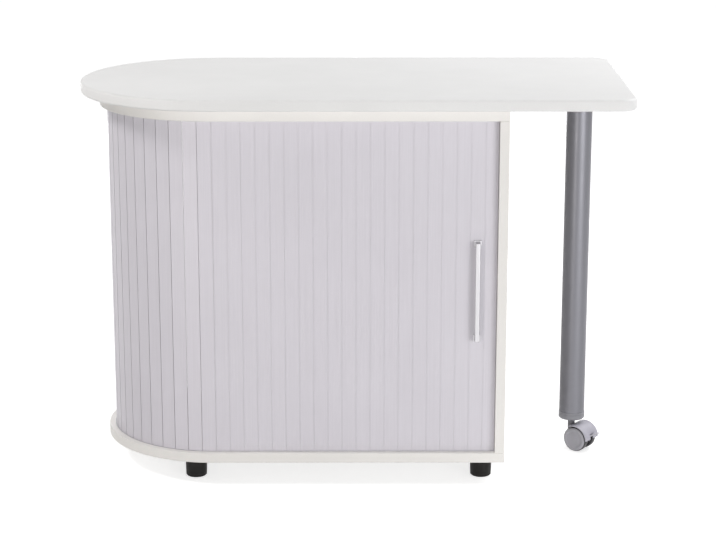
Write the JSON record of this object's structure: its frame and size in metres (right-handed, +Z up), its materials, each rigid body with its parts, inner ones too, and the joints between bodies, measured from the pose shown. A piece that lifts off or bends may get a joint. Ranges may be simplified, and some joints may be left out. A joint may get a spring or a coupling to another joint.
{
  "type": "tambour desk",
  "caption": "Roll-front cabinet desk with a rounded end and a table top that swings about it, carried at its far end by a tube leg on a braked caster.",
  "frame": {"origin": "on the floor under the middle of the table top's length and depth", "axes": "+X along the desk from the round end towards the leg, +Y to the back, +Z up"},
  "size_m": [1.0399, 0.508, 0.75],
  "materials": {
    "white_board": "white faced board, satin",
    "beech": "plain beech",
    "track_plastic": "smooth extruded plastic",
    "black_plastic": "moulded, satin",
    "curtain_plastic": "silver extruded plastic, satin",
    "handle_metal": "satin anodised",
    "steel": "zinc plated",
    "grey_tube": "satin grey powder coat",
    "grey_plastic": "moulded grey plastic, satin"
  },
  "bodies": {
    "cabinet": {"base_board": "white_board", "cabinet_top_board": "white_board", "side_panel": "white_board", "partition": "white_board", "back_panel": "white_board", "carcass_dowels": "beech", "shelf": "white_board", "shelf_pins": "steel", "lower_track": "track_plastic", "upper_track": "track_plastic", "foot_front_left": "black_plastic", "foot_front_right": "black_plastic", "foot_back_left": "black_plastic", "foot_back_right": "black_plastic", "foot_screws": "steel", "swivel_plate_lower": "steel", "swivel_screws_lower": "steel"},
    "table": {"table_top": "white_board", "swivel_plate_upper": "steel", "swivel_screws_upper": "steel", "pivot_washer": "steel", "pivot_bolt": "steel", "leg_plate": "steel", "leg_screws": "steel", "leg_tube": "grey_tube", "leg_end_cap": "grey_plastic"},
    "caster": {"caster_body": "grey_plastic", "caster_stem": "steel", "caster_axle": "steel", "brake_pin": "steel"},
    "wheel_front": {"wheel_front": "grey_plastic"},
    "wheel_back": {"wheel_back": "grey_plastic"},
    "brake_lever": {"brake_lever": "grey_plastic"},
    "curtain_lead": {"slats_01_02": "curtain_plastic", "handle": "handle_metal", "handle_screws": "steel"},
    "curtain_03_04": {"slats_03_04": "curtain_plastic"},
    "curtain_05_06": {"slats_05_06": "curtain_plastic"},
    "curtain_07_08": {"slats_07_08": "curtain_plastic"},
    "curtain_09_10": {"slats_09_10": "curtain_plastic"},
    "curtain_11_12": {"slats_11_12": "curtain_plastic"},
    "curtain_13_14": {"slats_13_14": "curtain_plastic"},
    "curtain_15_16": {"slats_15_16": "curtain_plastic"},
    "curtain_17_18": {"slats_17_18": "curtain_plastic"},
    "curtain_19_20": {"slats_19_20": "curtain_plastic"},
    "curtain_21_22": {"slats_21_22": "curtain_plastic"},
    "curtain_23_24": {"slats_23_24": "curtain_plastic"},
    "curtain_25_26": {"slats_25_26": "curtain_plastic"},
    "curtain_27_28": {"slats_27_28": "curtain_plastic"},
    "curtain_29_30": {"slats_29_30": "curtain_plastic"},
    "curtain_31_32": {"slats_31_32": "curtain_plastic"},
    "curtain_33_34": {"slats_33_34": "curtain_plastic"},
    "curtain_35_36": {"slats_35_36": "curtain_plastic"},
    "curtain_37_38": {"slats_37_38": "curtain_plastic"},
    "curtain_39_40": {"slats_39_40": "curtain_plastic"},
    "curtain_41_42": {"slats_41_42": "curtain_plastic"},
    "curtain_43_44": {"slats_43_44": "curtain_plastic"}
  },
  "joints": [
    {"name": "table_swing", "type": "hinge", "parent": "cabinet", "child": "table", "pos_m": [-0.266, 0, 0.7255], "axis": [0, 0, 1], "continuous": true},
    {"name": "caster_swivel", "type": "hinge", "parent": "table", "child": "caster", "pos_m": [0.44, 0, 0.063], "axis": [0, 0, 1], "continuous": true},
    {"name": "wheel_front_roll", "type": "hinge", "parent": "caster", "child": "wheel_front", "pos_m": [0.4467, -0.0244, 0.025], "axis": [0.6, 0.8, 0], "continuous": true},
    {"name": "wheel_back_roll", "type": "hinge", "parent": "caster", "child": "wheel_back", "pos_m": [0.4653, 0.0004, 0.025], "axis": [0.6, 0.8, 0], "continuous": true},
    {"name": "brake_tip", "type": "hinge", "parent": "caster", "child": "brake_lever", "pos_m": [0.47424, -0.02568, 0.03111], "axis": [0.6, 0.8, 0], "range_deg": [0, 20]},
    {"name": "curtain_slide", "type": "slide", "parent": "cabinet", "child": "curtain_lead", "axis": [-1, 0, 0], "range_m": [0, 0.485]},
    {"name": "curtain_03_04_run", "type": "hinge", "parent": "cabinet", "child": "curtain_03_04", "pos_m": [-0.03564, 3.80986, 0.3835], "axis": [0, 0, -1], "range_deg": [0, 6.92]},
    {"name": "curtain_05_06_run", "type": "hinge", "parent": "cabinet", "child": "curtain_05_06", "pos_m": [-0.06228, 1.04286, 0.3835], "axis": [0, 0, -1], "range_deg": [0, 22.11]},
    {"name": "curtain_07_08_run", "type": "hinge", "parent": "cabinet", "child": "curtain_07_08", "pos_m": [-0.08892, 0.52477, 0.3835], "axis": [0, 0, -1], "range_deg": [0, 37.3]},
    {"name": "curtain_09_10_run", "type": "hinge", "parent": "cabinet", "child": "curtain_09_10", "pos_m": [-0.11555, 0.3052, 0.3835], "axis": [0, 0, -1], "range_deg": [0, 52.48]},
    {"name": "curtain_11_12_run", "type": "hinge", "parent": "cabinet", "child": "curtain_11_12", "pos_m": [-0.14219, 0.1847, 0.3835], "axis": [0, 0, -1], "range_deg": [0, 67.67]},
    {"name": "curtain_13_14_run", "type": "hinge", "parent": "cabinet", "child": "curtain_13_14", "pos_m": [-0.16883, 0.11011, 0.3835], "axis": [0, 0, -1], "range_deg": [0, 82.86]},
    {"name": "curtain_15_16_run", "type": "hinge", "parent": "cabinet", "child": "curtain_15_16", "pos_m": [-0.19547, 0.06127, 0.3835], "axis": [0, 0, -1], "range_deg": [0, 98.04]},
    {"name": "curtain_17_18_run", "type": "hinge", "parent": "cabinet", "child": "curtain_17_18", "pos_m": [-0.22211, 0.02892, 0.3835], "axis": [0, 0, -1], "range_deg": [0, 113.23]},
    {"name": "curtain_19_20_run", "type": "hinge", "parent": "cabinet", "child": "curtain_19_20", "pos_m": [-0.24875, 0.00834, 0.3835], "axis": [0, 0, -1], "range_deg": [0, 128.42]},
    {"name": "curtain_21_22_run", "type": "hinge", "parent": "cabinet", "child": "curtain_21_22", "pos_m": [-0.266, 0, 0.3835], "axis": [0, 0, -1], "range_deg": [0, 138.25]},
    {"name": "curtain_23_24_run", "type": "hinge", "parent": "cabinet", "child": "curtain_23_24", "pos_m": [-0.266, 0, 0.3835], "axis": [0, 0, -1], "range_deg": [0, 138.25]},
    {"name": "curtain_25_26_run", "type": "hinge", "parent": "cabinet", "child": "curtain_25_26", "pos_m": [-0.266, 0, 0.3835], "axis": [0, 0, -1], "range_deg": [0, 138.25]},
    {"name": "curtain_27_28_run", "type": "hinge", "parent": "cabinet", "child": "curtain_27_28", "pos_m": [-0.24993, -0.00765, 0.3835], "axis": [0, 0, -1], "range_deg": [0, 129.09]},
    {"name": "curtain_29_30_run", "type": "hinge", "parent": "cabinet", "child": "curtain_29_30", "pos_m": [-0.22329, -0.02779, 0.3835], "axis": [0, 0, -1], "range_deg": [0, 113.9]},
    {"name": "curtain_31_32_run", "type": "hinge", "parent": "cabinet", "child": "curtain_31_32", "pos_m": [-0.19665, -0.05953, 0.3835], "axis": [0, 0, -1], "range_deg": [0, 98.72]},
    {"name": "curtain_33_34_run", "type": "hinge", "parent": "cabinet", "child": "curtain_33_34", "pos_m": [-0.17001, -0.10749, 0.3835], "axis": [0, 0, -1], "range_deg": [0, 83.53]},
    {"name": "curtain_35_36_run", "type": "hinge", "parent": "cabinet", "child": "curtain_35_36", "pos_m": [-0.14337, -0.18064, 0.3835], "axis": [0, 0, -1], "range_deg": [0, 68.34]},
    {"name": "curtain_37_38_run", "type": "hinge", "parent": "cabinet", "child": "curtain_37_38", "pos_m": [-0.11674, -0.29837, 0.3835], "axis": [0, 0, -1], "range_deg": [0, 53.16]},
    {"name": "curtain_39_40_run", "type": "hinge", "parent": "cabinet", "child": "curtain_39_40", "pos_m": [-0.0901, -0.51134, 0.3835], "axis": [0, 0, -1], "range_deg": [0, 37.97]},
    {"name": "curtain_41_42_run", "type": "hinge", "parent": "cabinet", "child": "curtain_41_42", "pos_m": [-0.06346, -1.00539, 0.3835], "axis": [0, 0, -1], "range_deg": [0, 22.78]},
    {"name": "curtain_43_44_run", "type": "hinge", "parent": "cabinet", "child": "curtain_43_44", "pos_m": [-0.03682, -3.45347, 0.3835], "axis": [0, 0, -1], "range_deg": [0, 7.59]}
  ],
  "couplings": [
    {"joint": "curtain_03_04_run", "follows": "curtain_slide", "rad_per_m": 0.24904},
    {"joint": "curtain_05_06_run", "follows": "curtain_slide", "rad_per_m": 0.79555},
    {"joint": "curtain_07_08_run", "follows": "curtain_slide", "rad_per_m": 1.3421},
    {"joint": "curtain_09_10_run", "follows": "curtain_slide", "rad_per_m": 1.8886},
    {"joint": "curtain_11_12_run", "follows": "curtain_slide", "rad_per_m": 2.4351},
    {"joint": "curtain_13_14_run", "follows": "curtain_slide", "rad_per_m": 2.9816},
    {"joint": "curtain_15_16_run", "follows": "curtain_slide", "rad_per_m": 3.5281},
    {"joint": "curtain_17_18_run", "follows": "curtain_slide", "rad_per_m": 4.0747},
    {"joint": "curtain_19_20_run", "follows": "curtain_slide", "rad_per_m": 4.6212},
    {"joint": "curtain_21_22_run", "follows": "curtain_slide", "rad_per_m": 4.9751},
    {"joint": "curtain_23_24_run", "follows": "curtain_slide", "rad_per_m": 4.9751},
    {"joint": "curtain_25_26_run", "follows": "curtain_slide", "rad_per_m": 4.9751},
    {"joint": "curtain_27_28_run", "follows": "curtain_slide", "rad_per_m": 4.6454},
    {"joint": "curtain_29_30_run", "follows": "curtain_slide", "rad_per_m": 4.0989},
    {"joint": "curtain_31_32_run", "follows": "curtain_slide", "rad_per_m": 3.5524},
    {"joint": "curtain_33_34_run", "follows": "curtain_slide", "rad_per_m": 3.0058},
    {"joint": "curtain_35_36_run", "follows": "curtain_slide", "rad_per_m": 2.4593},
    {"joint": "curtain_37_38_run", "follows": "curtain_slide", "rad_per_m": 1.9128},
    {"joint": "curtain_39_40_run", "follows": "curtain_slide", "rad_per_m": 1.3663},
    {"joint": "curtain_41_42_run", "follows": "curtain_slide", "rad_per_m": 0.81978},
    {"joint": "curtain_43_44_run", "follows": "curtain_slide", "rad_per_m": 0.27326}
  ]
}
